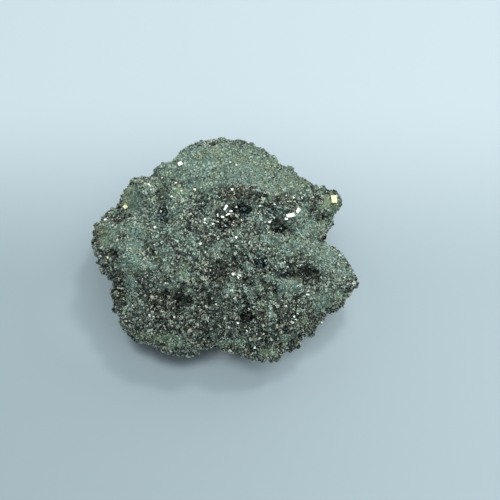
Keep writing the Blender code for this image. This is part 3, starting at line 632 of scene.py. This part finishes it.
def grain_material(name, dark, light, dull, glossy, metallic):
    """A finish for grains: each is its own shade from dark to light, and its own gloss."""
    material, wire, sockets = start_material(name)
    flecks = wire.grain(FLECK).stretched(0.3, 0.7)
    tone = wire.stored("tone") + wire.stored("fleck") * (flecks - 0.5)
    dust, olive = wire.stored("dust"), wire.stored("olive")
    warmth = wire.stored("warmth").blend((0.74, 1.0, 1.14), (1.26, 1.0, 0.86))
    powder = tone.blend((0.034, 0.063, 0.046), (0.378, 0.490, 0.412))
    bloom = tone.blend((0.047, 0.064, 0.034), (0.418, 0.490, 0.310))
    plug(
        sockets,
        Base_Color=dust.blend(tone.blend(dark, light), olive.blend(powder, bloom)).tinted(warmth),
        Roughness=(1.0 - tone) * dull + tone * glossy + 0.3 * dust,
        Metallic=metallic * (1.0 - 0.9 * dust),
    )
    return material


clear = []
for across, up, wide, tall, *_ in SHARDS:
    clear.append((across, up, wide / 2 + CLEAR_MARGIN, tall / 2 + CLEAR_MARGIN, 1.0))
free = oval_share(points, clear)

# Few grains lie in the gaps, on the plates and in thick dust. Those on bare parts are a little larger
# and stand out more, and those in thick dust less.
thin = np.max((0.85 * gap_here, 0.75 * plate_here, 0.6 * thick_here, 1.8 * free), axis=0)
seats = Seats(GRAIN_SEATS)
off_floor = seats.places[:, 2] > floor_height + OFF_FLOOR
seats.keep(off_floor & (chance.random(GRAIN_SEATS) > seats.of(thin)))
count = len(seats.places)
dust = seats.of(dust_here)
bare = 1.0 - dust
thick = seats.of(thick_here)
edges = GRAIN_EDGE * (0.95 + 0.15 * bare) * np.exp(chance.normal(0.0, EDGE_SPREAD, count))
edges = np.clip(edges, LEAST_EDGE, MOST_EDGE)
sides = edges[:, None] * chance.uniform(LEAST_SIDE, MOST_SIDE, (count, 3))
turns = random_turns(count)
height = edges * (chance.uniform(-MOST_SUNK, -LEAST_SUNK, count) + 0.13 * bare - 0.12 * thick)
middles = seats.places + seats.outward * height[:, None]

# Each grain has its own shade. Some are pale, dust evens them out, and painted highlights lighten
# them in spots. Painted shade darkens them in the hollows, on the rims and over the lower half, and
# stains darken them in some spots.
blotches = noise_at(seats.places, TONE_SPOT, shift=9.4)
tone = 0.74 * chance.random(count) ** (1.1 + 0.8 * bare) + 0.30 * blotches
tone = np.clip(tone + 0.04 + 0.45 * (chance.random(count) < PALE_SHARE), 0.0, 1.0)
tone += (0.15 + 0.65 * thick) * (0.40 - tone) * dust + 0.40 * seats.of(highlight_here)
# Darker in the hollows, on the rims and stained spots: painted shade, with some real stain.
tone *= 1.0 - 0.8 * seats.of(np.maximum(hollow_here, stain_and_shade_here))
values = {
    "tone": tone,
    "fleck": 1.6 - 1.0 * thick,
    "dust": np.clip(dust * 1.15 + chance.normal(0.0, 0.18, count) - 0.14, 0.0, 1.0),
    "olive": np.clip(seats.of(olive_here) + chance.normal(0.0, 0.10, count), 0.0, 1.0),
    "warmth": np.clip(seats.of(warmth_here) + chance.normal(0.0, 0.03, count), 0.0, 1.0),
}
bright = chance.random(count) < BRIGHT_SHARE + (BRIGHT_SHARE_IF_BARE - BRIGHT_SHARE) * bare

grain_finish = grain_material(
    "tarnished_grains",
    dark=(0.014, 0.020, 0.015),
    light=(0.40, 0.44, 0.365),
    dull=0.50,
    glossy=0.38,
    metallic=0.75,
)
plain = np.flatnonzero(~bright)
piece_count = math.ceil(len(plain) / GRAINS_PER_PIECE)
for piece in range(piece_count):
    these = plain[piece::piece_count]
    chosen = {what: each[these] for what, each in values.items()}
    shape = (middles[these], turns[these], sides[these], CROOKED)
    grow_blocks(f"grains_{piece + 1}", grain_finish, *shape, **chosen)

# The bright grains: the same crystals where they are fresh and clean, so that a face that meets the
# light flashes.
bright_finish = grain_material(
    "bright_grains",
    dark=(0.26, 0.30, 0.24),
    light=(0.65, 0.69, 0.59),
    dull=0.50,
    glossy=0.36,
    metallic=1.0,
)
these = np.flatnonzero(bright)
chosen = {what: each[these] for what, each in values.items()}
chosen["dust"] = chosen["dust"] * 0.35
grow_blocks("bright_grains", bright_finish, middles[these], turns[these], sides[these], CROOKED, **chosen)

# The hollow crystals: blocks of pyrite that had room to grow in the hollows and so came out larger
# and cleaner than the grains. They are steel grey to blue-black.
HOLLOW_SEATS = 9000
LEAST_HOLLOW_EDGE, MOST_HOLLOW_EDGE = 0.35 * MM, 0.80 * MM
seats = Seats(HOLLOW_SEATS)
seats.keep(chance.random(HOLLOW_SEATS) < seats.of(hollow_here) ** 1.5 * (seats.of(free) < 0.5))
count = len(seats.places)
edges = chance.uniform(LEAST_HOLLOW_EDGE, MOST_HOLLOW_EDGE, count)
height = edges * chance.uniform(-0.25, 0.15, count)
hollow_finish = grain_material(
    "hollow_crystals",
    dark=(0.014, 0.022, 0.022),
    light=(0.24, 0.29, 0.28),
    dull=0.44,
    glossy=0.32,
    metallic=1.0,
)
grow_blocks(
    "hollow_crystals",
    hollow_finish,
    seats.places + seats.outward * height[:, None],
    random_turns(count),
    edges[:, None] * chance.uniform(0.6, 1.2, (count, 3)),
    CROOKED / 2.0,
    tone=chance.random(count) ** 3.0,
    fleck=np.full(count, 1.2),
    dust=np.clip(chance.normal(0.0, 0.12, count), 0.0, 1.0),
    olive=np.zeros(count),
    warmth=np.clip(seats.of(warmth_here) + chance.normal(0.0, 0.08, count), 0.0, 1.0),
)

# The flashing crystals: clean crystals, most of them under a millimetre across, that stand out of
# the mass. Each has a flat face turned so that it throws the light of the small lamp back to the
# viewer. The largest is the brassy one on the knob, and a blade stands over the right hollow.
SMALL_LAMP_PLACE = Vector((0.12, 0.10, 0.40))
FLASH_PROUD = 0.30 * MM
SHARD_TILT, GLINT_TILT = 0.03, 0.08

# The small ones: across, up, size, and how brassy.
GLINTS = (
    (7.4, 5.0, 0.32, 0.1), (9.2, 8.3, 0.40, 0.0), (-3.9, 5.0, 0.43, 0.2), (18.9, 7.35, 0.40, 0.2),
    (-10.0, 9.8, 0.43, 0.2), (-12.0, 7.0, 0.43, 0.3), (-13.0, 4.1, 0.43, 0.1), (-20.0, 1.9, 0.43, 0.5),
    (-21.8, -1.5, 0.5, 1.0), (-8.1, 10.9, 0.5, 0.6), (-5.7, 11.1, 0.5, 0.7), (-14.2, 12.0, 0.43, 0.3),
    (-13.9, 11.1, 0.4, 0.2), (-4.6, 1.1, 0.43, 0.2), (-11.1, -6.3, 0.43, 0.0), (-9.4, -9.6, 0.58, 0.0),
    (-14.1, -12.0, 0.43, 0.2), (-14.6, -15.7, 0.43, 0.3), (-10.5, -16.7, 0.43, 0.3), (1.5, -4.6, 0.48, 0.0),
    (2.4, -5.2, 0.43, 0.0), (6.7, -4.6, 0.58, 0.0), (-3.5, -10.7, 0.58, 0.0), (3.3, -10.4, 0.43, 0.0),
    (2.4, -13.7, 0.4, 0.0), (8.5, -11.1, 0.43, 0.0), (13.5, -11.7, 0.58, 0.1), (12.8, -12.4, 0.43, 0.0),
    (15.2, -8.3, 0.5, 0.1), (17.6, -13.5, 0.58, 0.0), (10.7, -16.8, 0.43, 0.2), (10.0, -14.6, 0.43, 0.3),
    (9.4, -3.1, 0.43, 0.0), (6.5, 8.0, 0.43, 0.0), (12.6, 9.6, 0.43, 0.1),
    (2.0, 2.2, 0.4, 0.0), (2.0, 15.7, 0.43, 0.2), (0.9, 16.1, 0.43, 0.3), (-1.5, 19.1, 0.43, 0.4),
)

mass_tree = BVHTree.FromPolygons(points.tolist(), [face.vertices[:] for face in mass_mesh.polygons])
eye = LOOK_AT + TO_VIEWER * VIEW_DISTANCE
middles, turns, sides, brassy = [], [], [], []


def add_flash(across, up, wide, tall, turn, brass, tilt):
    """Adds a block on the mass that is seen at a place and sends the small lamp's light back.

    The tilt is by how much its face may miss the angle of a mirror.
    """
    line_of_sight = LOOK_AT + Vector((across, 0.0, 0.0)) * MM + VIEW_UP * up * MM - eye
    place = mass_tree.ray_cast(eye, line_of_sight)[0]
    if place is None:
        return
    half_way = (eye - place).normalized() + (SMALL_LAMP_PLACE - place).normalized()
    half_way = (half_way.normalized() + Vector(chance.normal(0.0, tilt, 3))).normalized()
    rightward = Vector((1.0, 0.0, 0.0))
    rightward = (rightward - half_way * rightward.dot(half_way)).normalized()
    facing = Matrix((rightward, half_way.cross(rightward), half_way)).transposed()
    deep = chance.uniform(0.5, 1.1) * min(wide, tall)
    sunk = deep * MM / 2.0 - FLASH_PROUD
    middles.append(place - half_way * sunk)
    turns.append(facing @ Matrix.Rotation(math.radians(turn), 3, "Z"))
    sides.append(Vector((wide, tall, deep)) * MM)
    brassy.append(brass)


for across, up, wide, tall, turn, brass in SHARDS:
    add_flash(across, up, wide, tall, turn, brass, SHARD_TILT)
for across, up, size, brass in GLINTS:
    wide, tall = size * chance.uniform(0.6, 1.1, 2)
    add_flash(across, up, wide, tall, chance.uniform(0.0, 180.0), brass, GLINT_TILT / size)

flash_material, wire, sockets = start_material("flashing_crystals")
brass = wire.stored("brassy")
worn = brass.blend((0.34, 0.37, 0.34), (0.28, 0.30, 0.18))
fresh = brass.blend((0.66, 0.70, 0.65), (0.46, 0.48, 0.31))
plug(
    sockets,
    Base_Color=wire.grain(0.5 * MM).stretched(0.35, 0.6).blend(worn, fresh),
    Roughness=0.54,
    Metallic=1.0,
)
grow_blocks(
    "flashing_crystals",
    flash_material,
    np.array(middles),
    np.array(turns),
    np.array(sides),
    CROOKED / 2.0,
    brassy=np.array(brassy),
)

# The floor is a plain pale sheet, painted a little darker in front and on the left: painted
# falloff of the lamps' light. It also glows faintly, which is painted light that fills the shadow
# of the lump, most of all in an oval around its front. The glow is held back where the lump hangs
# close over the sheet, so that the contact shadow stays dark there.
FLOOR_SIZE = 3.0
CONTACT_SHADOW_REACH = 4.5 * MM
floor_mesh = bpy.data.meshes.new("floor")
half = FLOOR_SIZE / 2.0
floor_corners = [(-half, -half), (half, -half), (half, half), (-half, half)]
floor_mesh.from_pydata([(x, y, floor_height) for x, y in floor_corners], [], [(0, 1, 2, 3)])
floor = linked("floor", floor_mesh)
floor_material, wire, sockets = start_material("pale_floor")
place = wire.node("ShaderNodeTexCoord", {}, {}, "Object")
across, back = (wire.node("ShaderNodeSeparateXYZ", {}, {"Vector": place}, axis) for axis in "XY")
left, right, behind = (0.169, 0.211, 0.229), (0.211, 0.261, 0.281), (0.290, 0.341, 0.363)
# Painted falloff of the lamps' light: darker to the front and to the left.
near = across.stretched(-0.04, 0.08).blend(left, right)
sheet = back.stretched(-0.005, 0.05).blend(near, behind)

# The oval's middle lies 3 mm to the left and 8 mm to the front of the lump's. It reaches 26 mm to
# either side, and 16 mm to the front and back.
oval = {0: place, 1: (38.5, 62.5, 0.0), 2: (0.12, 0.50, 0.0)}
from_middle = wire.node("ShaderNodeVectorMath", {"operation": "MULTIPLY_ADD"}, oval)
away = wire.node("ShaderNodeVectorMath", {"operation": "LENGTH"}, {0: from_middle}, "Value")
close = 1.0 - away.stretched(0.85, 1.30)
sky = {"Distance": CONTACT_SHADOW_REACH}
open_sky = wire.node("ShaderNodeAmbientOcclusion", {"samples": 16}, sky, "AO")
shut_in = open_sky.stretched(0.78, 0.40)
open_air = 1.0 - shut_in * (1.0 - 0.85 * across.stretched(0.001, 0.009))
# Painted light: the floor's glow, held back where the lump shuts the sheet in.
glow = (open_air * (0.70 + 0.25 * close)).blend((0.0, 0.0, 0.0), sheet)
plug(sockets, Base_Color=sheet, Roughness=0.7, Emission_Color=glow, Emission_Strength=1.0)
floor_mesh.materials.append(floor_material)


# Soft lamps hang over the lump, behind it and in front of it, a small one makes the crystals glint,
# and the rest is the faint light of the room.
def hang_lamp(name, place, side, watts, colour):
    """A square lamp that faces the lump."""
    data = bpy.data.lights.new(name, "AREA")
    data.size = side
    data.energy = watts
    data.color = colour
    lamp = linked(name, data)
    lamp.location = place
    lamp.rotation_euler = (Vector(place) - LOOK_AT).to_track_quat("Z", "Y").to_euler()


hang_lamp("top_lamp", (0.11, -0.06, 0.42), 0.42, 0.80, (0.97, 1.0, 1.0))
hang_lamp("back_lamp", (0.13, 0.24, 0.38), 0.40, 0.58, (0.96, 1.0, 1.0))
hang_lamp("front_lamp", (0.04, -0.36, 0.24), 0.44, 0.60, (0.96, 1.0, 1.0))
hang_lamp("small_lamp", SMALL_LAMP_PLACE, 0.07, 0.68, (1.0, 1.0, 0.97))

room = bpy.data.worlds.new("room")
room.use_nodes = True
room.node_tree.nodes["Background"].inputs["Color"].default_value = (0.82, 0.92, 1.0, 1.0)
room.node_tree.nodes["Background"].inputs["Strength"].default_value = 0.64
bpy.context.scene.world = room
bpy.context.scene.view_settings.view_transform = "Standard"

# The camera looks down at the lump from the front, with the lump a little left of the middle.
camera_data = bpy.data.cameras.new("camera")
camera_data.lens = 101.0
camera_data.shift_x = 0.05
camera_data.clip_start = 0.01
camera = linked("camera", camera_data)
camera.location = eye
camera.rotation_euler = (math.pi / 2.0 - VIEW_TILT, 0.0, 0.0)
bpy.context.scene.camera = camera
